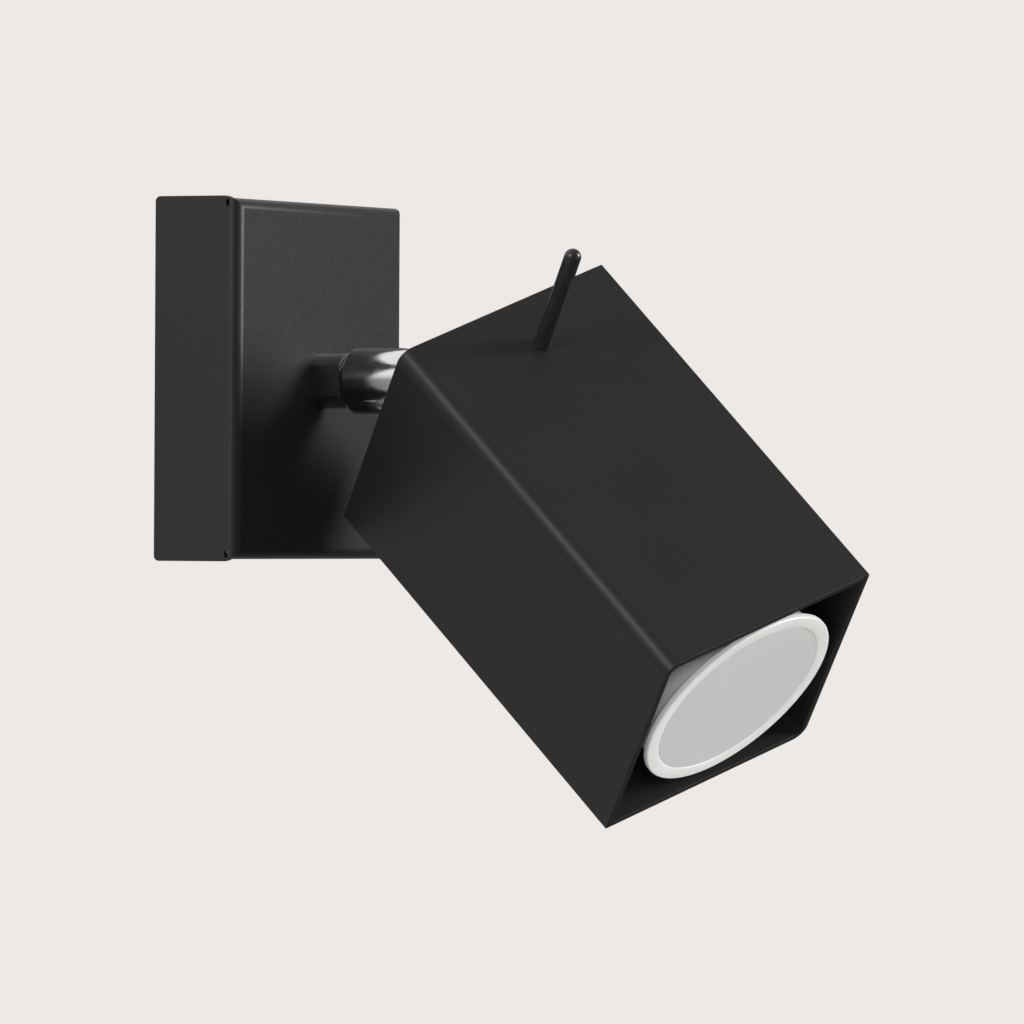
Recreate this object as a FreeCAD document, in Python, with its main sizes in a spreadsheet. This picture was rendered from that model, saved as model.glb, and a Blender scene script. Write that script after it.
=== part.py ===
import FreeCAD, Part
import math
import os
import Sketcher

# Pivoting wall spotlight: square folded canopy, short knuckle arm, square tube
# head with a recessed back plate, twist-in reflector-size lamp, aiming pin.
# Frame: wall plane at y = 0 behind the middle of the canopy, +Z up, the light
# stands out of the wall along -Y. Millimetres.

SIZES = [
    # canopy, folded from one sheet
    ("canopy_width", 80.0),
    ("canopy_height", 80.0),
    ("canopy_depth", 21.1),
    ("canopy_sheet", 1.2),
    ("canopy_bend", 2.6),
    ("flange_lip", 0.5),
    ("flange_corner", 1.2),
    ("lip_run_out", 2.0),
    ("notch_width", 0.8),
    ("seam_gap", 0.3),
    # wall plate and its fasteners
    ("plate_width", 56.0),
    ("plate_sheet", 1.5),
    ("tab_width", 16.0),
    ("tab_depth", 14.0),
    ("slot_spacing", 44.0),
    ("slot_width", 4.5),
    ("slot_length", 10.0),
    ("cable_hole_dia", 14.0),
    ("canopy_screw_dia", 4.0),
    ("canopy_screw_length", 7.0),
    ("screw_head_dia", 7.0),
    ("screw_head_height", 2.2),
    ("canopy_screw_reach", 9.0),
    # terminal block
    ("pole_pitch", 10.0),
    ("block_height", 16.0),
    ("block_depth", 13.0),
    ("block_clear", 1.0),
    ("pole_dia", 5.6),
    ("pole_bore", 3.4),
    ("pole_screw_dia", 3.0),
    ("pole_well_dia", 4.4),
    ("pole_screw_pitch", 8.0),
    ("lead_dia", 1.9),
    # swivelling arm
    ("arm_reach", 35.7),
    ("arm_dia", 14.8),
    ("arm_chamfer", 1.75),
    ("spigot_length", 7.05),
    ("spigot_dia", 12.4),
    ("flat_across", 10.17),
    ("thread_dia", 10.0),
    ("thread_inside", 6.0),
    ("nut_across", 14.0),
    ("nut_height", 3.0),
    ("washer_dia", 16.0),
    ("washer_height", 1.0),
    ("journal_dia", 9.0),
    ("journal_length", 14.0),
    ("wire_bore", 6.0),
    ("running_gap", 0.05),
    ("grub_from_canopy", 17.2),
    ("grub_dia", 3.0),
    ("grub_tip_dia", 2.0),
    ("groove_depth", 0.8),
    ("grub_angle", 49.0),
    ("swivel_angle", 160.0),
    # half-lap tilt hinge
    ("lap_gap", 0.5),
    ("lug_end", 6.45),
    ("lug_step", 6.5),
    ("tilt_down_angle", 60.0),
    ("tilt_up_angle", 40.0),
    ("hinge_screw_dia", 4.0),
    ("hinge_boss_dia", 5.2),
    ("wire_ring_dia", 9.6),
    ("wire_ring_depth", 2.2),
    ("hinge_bore_dia", 8.0),
    ("hinge_floor", 3.6),
    ("spring_washer", 0.9),
    ("front_half_length", 11.6),
    ("roll_thread_length", 8.0),
    ("stop_tab_reach", 11.5),
    ("stop_tab_angle", 82.0),
    ("stop_pip_dia", 3.0),
    ("stop_pip_radius", 10.3),
    # square tube head
    ("tube_side", 57.5),
    ("tube_length", 98.5),
    ("tube_sheet", 1.5),
    ("tube_bend", 3.35),
    ("tube_back", 3.1),
    ("back_sheet", 1.5),
    # aiming pin
    ("pin_from_back", 12.65),
    ("pin_side", 1.9),
    ("pin_dia", 3.8),
    ("pin_length", 32.1),
    ("pin_thread_dia", 2.5),
    ("pin_thread_length", 5.0),
    ("pin_nut_across", 5.0),
    ("pin_nut_height", 2.0),
    ("pin_lean", 0.9),
    # lampholder and its bracket
    ("bracket_sheet", 1.2),
    ("bracket_width", 14.0),
    ("bracket_span", 30.0),
    ("bracket_foot", 9.0),
    ("rivet_dia", 3.2),
    ("rivet_head_dia", 6.0),
    ("rivet_head_height", 1.2),
    ("holder_dia", 28.0),
    ("holder_height", 14.0),
    ("holder_face", 2.0),
    ("holder_screw_dia", 3.0),
    ("holder_screw_offset", 10.0),
    ("cavity_depth", 3.9),
    # lamp
    ("lamp_dia", 50.0),
    ("lamp_length", 48.0),
    ("lamp_recess", 0.5),
    ("lamp_side", 0.65),
    ("lamp_rise", 0.25),
    ("rim_width", 3.4),
    ("rim_slope", 0.8),
    ("rim_height", 1.35),
    ("rim_round", 0.45),
    ("rim_groove", 0.4),
    ("rim_skirt", 1.4),
    ("lamp_body_dia", 47.35),
    ("lamp_wall", 1.6),
    ("lamp_taper_length", 11.0),
    ("lamp_taper_share", 0.225),
    ("lamp_base_height", 9.0),
    ("lamp_cone_start", 15.0),
    ("contact_stem", 4.5),
    ("lens_sheet", 1.4),
    ("lens_recess", 0.25),
    ("lens_gap", 0.04),
    ("neck_dia", 26.0),
    ("lamp_pin_pitch", 10.0),
    ("lamp_pin_head", 5.0),
    ("lamp_pin_neck", 3.2),
    ("lamp_pin_drop", 5.4),
    ("twist_angle", 25.0),
    # pose of the photographed light, in degrees
    ("pose_swivel", 7.9),
    ("pose_tilt", 44.6),
    ("pose_roll", 40.5),
]


class Size:
    """A size as its number and as the sheet formula that gives it."""

    def __init__(self, number, formula):
        self.number = number
        self.formula = formula

    def joined(self, other, sign, number):
        return Size(number, "(%s %s %s)" % (self.formula, sign, other.formula))

    def __add__(self, other):
        other = as_size(other)
        return self.joined(other, "+", self.number + other.number)

    def __radd__(self, other):
        return as_size(other) + self

    def __sub__(self, other):
        other = as_size(other)
        return self.joined(other, "-", self.number - other.number)

    def __rsub__(self, other):
        return as_size(other) - self

    def __mul__(self, other):
        other = as_size(other)
        return self.joined(other, "*", self.number * other.number)

    def __rmul__(self, other):
        return as_size(other) * self

    def __truediv__(self, other):
        other = as_size(other)
        return self.joined(other, "/", self.number / other.number)

    def __neg__(self):
        return 0.0 - self


def as_size(value):
    if isinstance(value, Size):
        return value
    return Size(float(value), "(%.6f)" % float(value))


class Sheet:
    """The driving sizes, each reached by its alias."""

    def __init__(self, document, rows):
        table = document.addObject("Spreadsheet::Sheet", "Sizes")
        for row, (alias, number) in enumerate(rows, 1):
            table.set("A%d" % row, alias)
            table.set("B%d" % row, str(number))
            table.setAlias("B%d" % row, alias)
        document.recompute()
        for alias, number in rows:
            setattr(self, alias, Size(float(table.get(alias)), "Sizes." + alias))


V = FreeCAD.Vector
doc = FreeCAD.newDocument("WallSpotlight")
D = Sheet(doc, SIZES)
NODES = []

X_AXIS = V(1, 0, 0)
Y_AXIS = V(0, 1, 0)
Z_AXIS = V(0, 0, 1)
ALONG = {
    "X": FreeCAD.Rotation(Y_AXIS, 90),
    "Y": FreeCAD.Rotation(X_AXIS, -90),
    "-Y": FreeCAD.Rotation(X_AXIS, 90),
    "Z": FreeCAD.Rotation(),
}


# --- building blocks ---------------------------------------------------------

def bind(item, prop, value):
    """Ties one property to its sheet formula."""
    item.setExpression(prop, as_size(value).formula)


def place(item, at, rotation=None):
    """Puts an item at a point given in sheet sizes."""
    numbers = [as_size(value).number for value in at]
    item.Placement = FreeCAD.Placement(V(*numbers), rotation or FreeCAD.Rotation())
    for axis, value in zip("xyz", at):
        bind(item, "Placement.Base." + axis, value)


def box(name, size, corner):
    item = doc.addObject("Part::Box", name)
    for prop, value in zip(("Length", "Width", "Height"), size):
        setattr(item, prop, as_size(value).number)
        bind(item, prop, value)
    place(item, corner)
    return item


def block(name, size, middle):
    """A box given by its middle."""
    corner = [as_size(at) - as_size(length) / 2 for at, length in zip(middle, size)]
    return box(name, size, corner)


def rod(name, diameter, length, start, axis="Z", angle=None, rotation=None):
    """A round rod from its start point along an axis."""
    item = doc.addObject("Part::Cylinder", name)
    item.Radius = as_size(diameter).number / 2
    item.Height = as_size(length).number
    bind(item, "Radius", as_size(diameter) / 2)
    bind(item, "Height", length)
    if angle is not None:
        item.Angle = as_size(angle).number
        bind(item, "Angle", angle)
    place(item, start, rotation or ALONG[axis])
    return item


def ring(name, outer, inner, length, start, axis="Z"):
    whole = rod(name + "Outer", outer, length, start, axis)
    hole = rod(name + "Inner", inner, length, start, axis)
    return cut(name, whole, [hole])


def hexagon(name, across, height, start, axis="Z"):
    """A hexagonal prism by its width across flats."""
    item = doc.addObject("Part::Prism", name)
    item.Polygon = 6
    item.Circumradius = as_size(across).number / math.sqrt(3)
    item.Height = as_size(height).number
    bind(item, "Circumradius", as_size(across) / math.sqrt(3))
    bind(item, "Height", height)
    place(item, start, ALONG[axis])
    return item


def fuse(name, pieces):
    item = doc.addObject("Part::MultiFuse", name)
    item.Shapes = pieces
    item.Refine = True
    return item


def cut(name, base, tools):
    item = doc.addObject("Part::Cut", name)
    item.Base = base
    item.Tool = tools[0] if len(tools) == 1 else fuse(name + "Tools", tools)
    item.Refine = True
    return item


def common(name, pieces):
    item = doc.addObject("Part::MultiCommon", name)
    item.Shapes = pieces
    return item


def group(name, pieces):
    item = doc.addObject("Part::Compound", name)
    item.Links = pieces
    return item


def origin_plane(body, role):
    for feature in body.Origin.OriginFeatures:
        if feature.Role == role:
            return feature
    raise ValueError(role)


def outline(body, points, plane="XZ_Plane"):
    """A closed sketch whose corners are tied to sheet sizes."""
    sketch = body.newObject("Sketcher::SketchObject", body.Name + "Outline")
    sketch.AttachmentSupport = [(origin_plane(body, plane), "")]
    sketch.MapMode = "FlatFace"
    corners = [V(as_size(x).number, as_size(y).number, 0) for x, y in points]
    count = len(corners)
    for index, corner in enumerate(corners):
        line = Part.LineSegment(corner, corners[(index + 1) % count])
        sketch.addGeometry(line, False)
    for index in range(count):
        following = (index + 1) % count
        sketch.addConstraint(Sketcher.Constraint("Coincident", index, 2, following, 1))
    for index, point in enumerate(points):
        for kind, value in zip(("DistanceX", "DistanceY"), point):
            number = as_size(value).number
            tie = Sketcher.Constraint(kind, -1, 1, index, 1, number)
            row = sketch.addConstraint(tie)
            bind(sketch, "Constraints[%d]" % row, value)
    return sketch


def turned(name, points):
    """A body of revolution about Z from (radius, height) corners."""
    body = doc.addObject("PartDesign::Body", name)
    sketch = outline(body, points)
    feature = body.newObject("PartDesign::Revolution", name + "Turned")
    feature.Profile = sketch
    feature.ReferenceAxis = (sketch, ["V_Axis"])
    feature.Angle = 360.0
    sketch.Visibility = False
    return body


def padded(name, points, length, plane="XY_Plane", both_ways=False, other_way=False):
    """A body from a flat outline and a thickness."""
    body = doc.addObject("PartDesign::Body", name)
    sketch = outline(body, points, plane)
    feature = body.newObject("PartDesign::Pad", name + "Pad")
    feature.Profile = sketch
    feature.Length = as_size(length).number
    bind(feature, "Length", length)
    feature.Midplane = both_ways
    feature.Reversed = other_way
    sketch.Visibility = False
    return body


def round_edges(body, radius, wanted):
    """Fillets the edges that the test picks."""
    doc.recompute()
    tip = body.Tip
    names = ["Edge%d" % number for number, edge in enumerate(tip.Shape.Edges, 1) if wanted(edge)]
    feature = body.newObject("PartDesign::Fillet", body.Name + "Round%d" % len(body.Group))
    feature.Base = (tip, names)
    feature.Radius = as_size(radius).number
    bind(feature, "Radius", radius)
    body.Tip = feature
    return body


def finish(item, label, frame=None):
    """Names a sub-part and puts it in its frame."""
    if frame is not None:
        item.Placement = frame
    item.Label = label
    NODES.append(item)
    return item


def lead(label, points, frame=None, bend_share=0.45):
    """An insulated lead: straight runs joined by tangent arcs."""
    corners = [V(*[as_size(value).number for value in point]) for point in points]
    radius = D.lead_dia.number / 2
    edges = []
    start = corners[0]
    length = 0.0
    for before, corner, after in zip(corners, corners[1:], corners[2:]):
        inward = (corner - before).normalize()
        outward = (after - corner).normalize()
        run = min((corner - before).Length, (after - corner).Length)
        trim = bend_share * run
        first = corner - inward * trim
        last = corner + outward * trim
        half_turn = inward.getAngle(outward) / 2
        bend = trim / math.tan(half_turn)
        middle_way = (outward - inward).normalize()
        middle = corner + middle_way * (bend / math.cos(half_turn) - bend)
        edges.append(Part.LineSegment(start, first).toShape())
        edges.append(Part.Arc(first, middle, last).toShape())
        length += (first - start).Length + bend * 2 * half_turn
        start = last
    edges.append(Part.LineSegment(start, corners[-1]).toShape())
    length += (corners[-1] - start).Length
    path = Part.Wire(edges)
    circle = Part.Circle(corners[0], corners[1] - corners[0], radius)
    profile = Part.Wire([circle.toShape()])
    shape = path.makePipeShell([profile], True, False)
    share = shape.Volume / (math.pi * radius ** 2 * length)
    if abs(share - 1) > 0.02:
        raise ValueError("%s: volume is %.3f of section times length" % (label, share))
    item = doc.addObject("Part::Feature", label.replace("_", " ").title().replace(" ", ""))
    item.Shape = shape
    return finish(item, label, frame or FreeCAD.Placement())


# --- frames ------------------------------------------------------------------

PIVOT = V(0, -(D.canopy_depth + D.arm_reach).number, 0)
SWIVEL = FreeCAD.Rotation(Y_AXIS, D.pose_swivel.number)
ARM = FreeCAD.Placement(PIVOT, SWIVEL * FreeCAD.Rotation(X_AXIS, -90))
TILT = FreeCAD.Placement(PIVOT, SWIVEL * FreeCAD.Rotation(X_AXIS, 90 + D.pose_tilt.number))
HEAD = TILT * FreeCAD.Placement(V(), FreeCAD.Rotation(Z_AXIS, D.pose_roll.number))
LAMP = HEAD * FreeCAD.Placement(V(D.lamp_side.number, D.lamp_rise.number, 0), FreeCAD.Rotation())


# --- canopy and wall side ----------------------------------------------------

def canopy_lip(end, sign_z, length):
    """Proud edge of the left flange, with the tools that round its two ends."""
    sheet = D.canopy_sheet
    corner = D.flange_corner
    run = D.lip_run_out
    height = D.flange_lip
    side_x = -(D.canopy_width / 2 - sheet / 2)
    start_x = side_x - sheet
    half_z = D.canopy_height / 2
    edge = sign_z * (half_z + height)
    lip = block("Lip" + end, (sheet, length, height), (side_x, -length / 2, sign_z * (half_z + height / 2)))
    back_block = block("LipBackBlock" + end, (sheet * 1.4, corner * 1.5, corner * 1.5),
                       (side_x, -corner / 4, edge - sign_z * corner / 4))
    back_rod = rod("LipBackRod" + end, corner * 2, sheet * 2,
                   (start_x, -corner, edge - sign_z * corner), "X")
    radius = (run * run + height * height) / (height * 2)
    front_block = block("LipFrontBlock" + end, (sheet * 1.4, run + 0.5, height * 2),
                        (side_x, (run - 0.5) / 2 - length, edge))
    front_rod = rod("LipFrontRod" + end, radius * 2, sheet * 2,
                    (start_x, run - length, edge - sign_z * radius), "X")
    return lip, [cut("LipBackRound" + end, back_block, [back_rod]),
                 cut("LipFrontRound" + end, front_block, [front_rod])]


def make_canopy():
    half_x = D.canopy_width / 2
    half_z = D.canopy_height / 2
    sheet = D.canopy_sheet
    corners = [(-half_x, -half_z), (half_x, -half_z), (half_x, half_z), (-half_x, half_z)]
    shell = padded("CanopyOuter", corners, D.canopy_depth, "XZ_Plane")
    front = -D.canopy_depth.number

    def on_front(edge):
        return all(abs(vertex.Y - front) < 1e-6 for vertex in edge.Vertexes)

    round_edges(shell, D.canopy_bend, on_front)
    inner_x = half_x - sheet
    inner_z = half_z - sheet
    inside = [(-inner_x, -inner_z), (inner_x, -inner_z), (inner_x, inner_z), (-inner_x, inner_z)]
    room = padded("CanopyInner", inside, D.canopy_depth - sheet, "XZ_Plane")
    back = -(D.canopy_depth - sheet).number

    def on_back(edge):
        return all(abs(vertex.Y - back) < 1e-6 for vertex in edge.Vertexes)

    round_edges(room, D.canopy_bend - sheet, on_back)
    hollow = cut("CanopyHollow", shell, [room])
    flange_depth = D.canopy_depth - D.canopy_bend - D.notch_width
    lips = []
    rounds = []
    for end, sign_z in (("Low", -1), ("High", 1)):
        lip, cutters = canopy_lip(end, sign_z, flange_depth + D.notch_width + 0.6)
        lips.append(lip)
        rounds.extend(cutters)
    notches = []
    seams = []
    holes = [rod("CanopyArmHole", D.thread_dia + 0.1, sheet * 3, (0, -D.canopy_depth - sheet, 0), "Y")]
    for side, sign_x in (("Left", -1), ("Right", 1)):
        for end, sign_z in (("Low", -1), ("High", 1)):
            mark = side + end
            notches.append(block("Notch" + mark, (sheet * 1.2, D.notch_width, sheet * 1.2),
                                 (sign_x * (half_x - sheet * 0.5), -flange_depth - D.notch_width / 2,
                                  sign_z * (half_z - sheet * 0.9))))
            seams.append(block("Seam" + mark, (D.seam_gap, flange_depth * 2, sheet * 2),
                               (sign_x * (half_x - sheet - D.seam_gap / 2), 0.0,
                                sign_z * (half_z - sheet / 2 + 0.1))))
    for end, sign_z in (("Low", -1), ("High", 1)):
        start = sign_z * half_z - D.canopy_sheet * 2
        holes.append(rod("CanopyScrewHole" + end, D.canopy_screw_dia + 0.3, sheet * 4,
                         (0, -D.canopy_screw_reach, start)))
    whole = fuse("CanopyWithLips", [hollow] + lips)
    finish(cut("Canopy", whole, rounds + notches + seams + holes), "canopy")


def make_wall_plate():
    half_x = D.plate_width / 2
    half_z = D.canopy_height / 2 - D.canopy_sheet
    sheet = D.plate_sheet
    height = half_z * 2
    base = block("PlateBase", (D.plate_width, sheet, height - 2 * sheet), (0, -sheet / 2, 0))
    pieces = [base]
    for end, sign_z in (("Low", -1), ("High", 1)):
        middle_z = sign_z * (half_z - sheet / 2)
        pieces.append(block("PlateTab" + end, (D.tab_width, D.tab_depth, sheet),
                            (0, -D.tab_depth / 2, middle_z)))
    plate = fuse("PlateWhole", pieces)
    tools = [rod("PlateCableHole", D.cable_hole_dia, sheet * 3, (0, -sheet * 2, 0), "Y")]
    for side, sign_x in (("Left", -1), ("Right", 1)):
        middle = sign_x * D.slot_spacing / 2
        run = D.slot_length - D.slot_width
        tools.append(block("PlateSlot" + side, (run, sheet * 3, D.slot_width), (middle, -sheet, 0)))
        for end, sign in (("In", -1), ("Out", 1)):
            tools.append(rod("PlateSlot" + side + end, D.slot_width, sheet * 3,
                             (middle + sign * run / 2, -sheet * 2, 0), "Y"))
        tools.append(rod("PlateBlockHole" + side, D.pole_screw_dia, sheet * 3,
                         (sign_x * D.pole_pitch / 2, -sheet * 2, -BLOCK_MIDDLE), "Y"))
    tools.append(rod("PlateEarthHole", D.canopy_screw_dia, sheet * 3,
                     (EARTH_X, -sheet * 2, EARTH_Z), "Y"))
    for end, sign_z in (("Low", -1), ("High", 1)):
        tools.append(rod("PlateTabHole" + end, D.canopy_screw_dia, D.plate_sheet * 4,
                         (0, -D.canopy_screw_reach, sign_z * half_z - D.plate_sheet * 2)))
    finish(cut("WallPlate", plate, tools), "wall_plate")


def make_canopy_screws():
    """Socket set screws that end flush with the canopy's top and bottom."""
    screws = []
    half_z = D.canopy_height / 2
    deep = D.canopy_screw_length / 3
    for end, sign_z in (("Low", -1), ("High", 1)):
        start = half_z - D.canopy_screw_length if sign_z > 0 else -half_z
        shank = rod("CanopyScrewShank" + end, D.canopy_screw_dia, D.canopy_screw_length,
                    (0, -D.canopy_screw_reach, start))
        low = half_z - deep if sign_z > 0 else -half_z
        socket = hexagon("CanopyScrewSocket" + end, 2.0, deep, (0, -D.canopy_screw_reach, low))
        screws.append(cut("CanopyScrew" + end, shank, [socket]))
    finish(group("CanopyScrews", screws), "canopy_screws")


BLOCK_BOTTOM = D.canopy_height / 2 - D.canopy_screw_length - D.block_clear
BLOCK_TOP = BLOCK_BOTTOM - D.block_height
BLOCK_MIDDLE = BLOCK_BOTTOM - D.block_height / 2
POLE_Y = -(D.plate_sheet + D.block_depth / 2)
BLOCK_FRONT = -(D.plate_sheet + D.block_depth)
EARTH_X = 20.0
EARTH_Z = 14.0


def pole_places():
    return [("Left", -D.pole_pitch), ("Middle", as_size(0.0)), ("Right", D.pole_pitch)]


def make_terminal_block():
    body = block("BlockBody", (D.pole_pitch * 3, D.block_depth, D.block_height),
                 (0, POLE_Y, -BLOCK_MIDDLE))
    holes = []
    tubes = []
    screws = []
    for name, middle in pole_places():
        low = -BLOCK_BOTTOM
        holes.append(rod("BlockBore" + name, D.pole_dia, D.block_height, (middle, POLE_Y, low)))
        tube_low = low + 1.0
        tube_length = D.block_height - 2.0
        outer = rod("PoleOuter" + name, D.pole_dia, tube_length, (middle, POLE_Y, tube_low))
        bores = [rod("PoleBore" + name, D.pole_bore, tube_length, (middle, POLE_Y, tube_low))]
        for end, sign in (("Low", -1), ("High", 1)):
            at_z = -BLOCK_MIDDLE + sign * D.pole_screw_pitch / 2
            tip = POLE_Y - D.lead_dia / 2 - 0.1
            holes.append(rod("BlockWell" + name + end, D.pole_well_dia, D.block_depth / 2,
                             (middle, BLOCK_FRONT, at_z), "Y"))
            bores.append(rod("PoleScrewHole" + name + end, D.pole_screw_dia, D.pole_dia / 2,
                             (middle, POLE_Y - D.pole_dia / 2, at_z), "Y"))
            shank = rod("PoleShank" + name + end, D.pole_screw_dia, tip - BLOCK_FRONT - 1.5,
                        (middle, BLOCK_FRONT + 1.5, at_z), "Y")
            head = rod("PoleHead" + name + end, D.pole_well_dia - 0.4, 1.6,
                       (middle, BLOCK_FRONT + 0.6, at_z), "Y")
            whole = fuse("PoleScrewWhole" + name + end, [shank, head])
            slit = block("PoleSlit" + name + end, (D.pole_well_dia, 0.9, 0.7),
                         (middle, BLOCK_FRONT + 1.0, at_z))
            screws.append(cut("PoleScrew" + name + end, whole, [slit]))
        tubes.append(cut("Pole" + name, outer, bores))
    fixings = []
    for side, sign_x in (("Left", -1), ("Right", 1)):
        middle = sign_x * D.pole_pitch / 2
        holes.append(rod("BlockFixHole" + side, D.pole_screw_dia, D.block_depth,
                         (middle, BLOCK_FRONT, -BLOCK_MIDDLE), "Y"))
        holes.append(rod("BlockFixSink" + side, 4.8, 2.4, (middle, BLOCK_FRONT, -BLOCK_MIDDLE), "Y"))
        holes.append(block("BlockSlit" + side, (0.8, 4.0, D.block_height),
                           (middle, -D.plate_sheet - 2.0, -BLOCK_MIDDLE)))
        fixings.append(fuse("BlockFixing" + side, [
            rod("BlockFixShank" + side, D.pole_screw_dia, D.block_depth - 2.4 + D.plate_sheet,
                (middle, BLOCK_FRONT + 2.4, -BLOCK_MIDDLE), "Y"),
            rod("BlockFixHead" + side, 4.6, 1.6, (middle, BLOCK_FRONT + 0.8, -BLOCK_MIDDLE), "Y"),
        ]))
    finish(cut("TerminalBlock", body, holes), "terminal_block")
    finish(group("TerminalTubes", tubes), "terminal_tubes")
    finish(group("TerminalScrews", screws), "terminal_screws")
    finish(group("BlockFixings", fixings), "terminal_fixing_screws")


def make_wall_earth():
    face = -D.plate_sheet
    tongue = 0.8
    eye = rod("WallLugEye", 8.0, tongue, (EARTH_X, face - tongue, EARTH_Z), "Y")
    neck = block("WallLugNeck", (3.0, tongue, 6.0), (EARTH_X, face - tongue / 2, EARTH_Z - 5.5))
    barrel = rod("WallLugBarrel", 3.0, 4.0, (EARTH_X, face - 1.5, EARTH_Z - 10.0))
    bore = rod("WallLugBore", D.lead_dia, 4.0, (EARTH_X, face - 1.5, EARTH_Z - 10.0))
    hole = rod("WallLugHole", D.canopy_screw_dia, tongue, (EARTH_X, face - tongue, EARTH_Z), "Y")
    finish(cut("WallLug", fuse("WallLugWhole", [eye, neck, barrel]), [bore, hole]), "wall_earth_lug")
    head = rod("WallEarthHead", D.screw_head_dia, D.screw_head_height,
               (EARTH_X, face - tongue - D.screw_head_height, EARTH_Z), "Y")
    shank = rod("WallEarthShank", D.canopy_screw_dia, tongue + D.plate_sheet,
                (EARTH_X, face - tongue, EARTH_Z), "Y")
    slit = block("WallEarthSlit", (D.screw_head_dia, 1.0, 1.0),
                 (EARTH_X, face - tongue - D.screw_head_height + 0.5, EARTH_Z))
    finish(cut("WallEarthScrew", fuse("WallEarthWhole", [head, shank]), [slit]), "wall_earth_screw")


def make_base_leads():
    """Leads from the terminals, past the middle of the canopy, into the hollow stud."""
    top = -BLOCK_TOP - 3.0
    mouth = -(D.canopy_depth + 4.0)
    inner = 1.15
    rise = 0.65
    lead("base_lead_live", [
        (-D.pole_pitch, POLE_Y, top), (-D.pole_pitch, POLE_Y, top * 0.4),
        (-inner, POLE_Y - 2.0, rise), (-inner, mouth, rise),
    ])
    lead("base_lead_neutral", [
        (0.0, POLE_Y, top), (0.0, POLE_Y, top * 0.45),
        (0.0, POLE_Y - 1.4, -rise * 2), (0.0, mouth, -rise * 2),
    ])
    lead("base_lead_earth", [
        (D.pole_pitch, POLE_Y, top), (D.pole_pitch, POLE_Y, top * 0.4),
        (inner, POLE_Y - 2.0, rise), (inner, mouth, rise),
    ])


# --- swivelling arm ----------------------------------------------------------

def make_spigot():
    """Hollow stud through the canopy front: thread, two flats, journal."""
    seat = D.arm_reach
    shoulder = seat - D.spigot_length
    thread_top = seat + D.thread_inside + D.canopy_sheet
    outer = turned("SpigotTurned", [
        (D.wire_bore / 2, shoulder - D.journal_length), (D.journal_dia / 2, shoulder - D.journal_length),
        (D.journal_dia / 2, shoulder), (D.spigot_dia / 2, shoulder), (D.spigot_dia / 2, seat),
        (D.thread_dia / 2, seat), (D.thread_dia / 2, thread_top), (D.wire_bore / 2, thread_top),
    ])
    tools = []
    for side, sign_x in (("Left", -1), ("Right", 1)):
        middle = sign_x * (D.flat_across / 2 + D.spigot_dia / 4)
        tools.append(block("SpigotFlat" + side, (D.spigot_dia / 2, D.spigot_dia * 2, D.spigot_length),
                           (middle, 0, seat - D.spigot_length / 2)))
    groove_z = D.arm_reach - D.grub_from_canopy
    width = D.grub_tip_dia + 0.1
    tip_radius = (D.journal_dia / 2 - D.groove_depth).number
    tip_half = math.degrees(math.asin(width.number / 2 / tip_radius))
    sweep = 2 * (D.swivel_angle + tip_half + 0.5)
    middle_angle = grub_direction() + D.pose_swivel.number
    turned_back = FreeCAD.Rotation(Z_AXIS, middle_angle - sweep.number / 2)
    sector = rod("GrooveSector", D.journal_dia + 1.0, width, (0, 0, groove_z - width / 2),
                 angle=sweep, rotation=turned_back)
    core = rod("GrooveCore", D.journal_dia - D.groove_depth * 2, width, (0, 0, groove_z - width / 2))
    tools.append(cut("SpigotGroove", sector, [core]))
    frame = FreeCAD.Placement(PIVOT, FreeCAD.Rotation(X_AXIS, -90))
    finish(cut("Spigot", outer, tools), "arm_spigot", frame)


def grub_direction():
    """Angle of the grub screw in the arm frame, from the hinge axis toward +Y (down)."""
    return 180.0 - D.grub_angle.number - D.pose_swivel.number


def make_spigot_nut():
    face = -(D.canopy_depth - D.canopy_sheet)
    finish(ring("SpigotWasher", D.washer_dia, D.thread_dia, D.washer_height, (0, face, 0), "Y"),
           "spigot_washer")
    start = face + D.washer_height
    nut = hexagon("SpigotNutHex", D.nut_across, D.nut_height, (0, start, 0), "Y")
    hole = rod("SpigotNutHole", D.thread_dia, D.nut_height, (0, start, 0), "Y")
    finish(cut("SpigotNut", nut, [hole]), "spigot_nut")


def lug_side(sign_y, stop_angle):
    """Corners of one side of a lug: at the shoulder, at the flat's end, at the nose."""
    stop = math.radians(stop_angle.number)
    radius = D.arm_dia.number / 2
    nose = D.lug_end.number
    corner = (nose - radius * math.sin(stop)) / math.cos(stop)
    return [
        V(0, sign_y * radius, D.lug_step.number),
        V(0, sign_y * radius, -corner),
        V(0, sign_y * nose * math.sin(stop), -nose * math.cos(stop)),
    ]


def lug_outline(stop_above, stop_below):
    """Half-lap end seen along the hinge axis: round nose, then flats that stop the tilt."""
    above = lug_side(1, stop_above)
    below = lug_side(-1, stop_below)
    middle = V(0, 0, -D.lug_end.number)
    edges = [
        Part.LineSegment(above[0], above[1]).toShape(),
        Part.LineSegment(above[1], above[2]).toShape(),
        Part.Arc(above[2], middle, below[2]).toShape(),
        Part.LineSegment(below[2], below[1]).toShape(),
        Part.LineSegment(below[1], below[0]).toShape(),
        Part.LineSegment(below[0], above[0]).toShape(),
    ]
    return Part.Wire(edges)


def make_lug(name, sign_x, stop_above, stop_below):
    """Half a cylinder with the nose outline, on one side of the lap."""
    gap = D.lap_gap.number / 2
    radius = D.arm_dia.number / 2
    side = Part.Face(lug_outline(stop_above, stop_below)).extrude(V(radius - gap, 0, 0))
    side.translate(V(gap if sign_x > 0 else -radius, 0, 0))
    reach = D.lug_end.number + 1.0
    height = reach + D.lug_step.number
    cylinder = Part.makeCylinder(radius, height, V(0, 0, -reach))
    item = doc.addObject("Part::Feature", name)
    item.Shape = side.common(cylinder)
    return item


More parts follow.
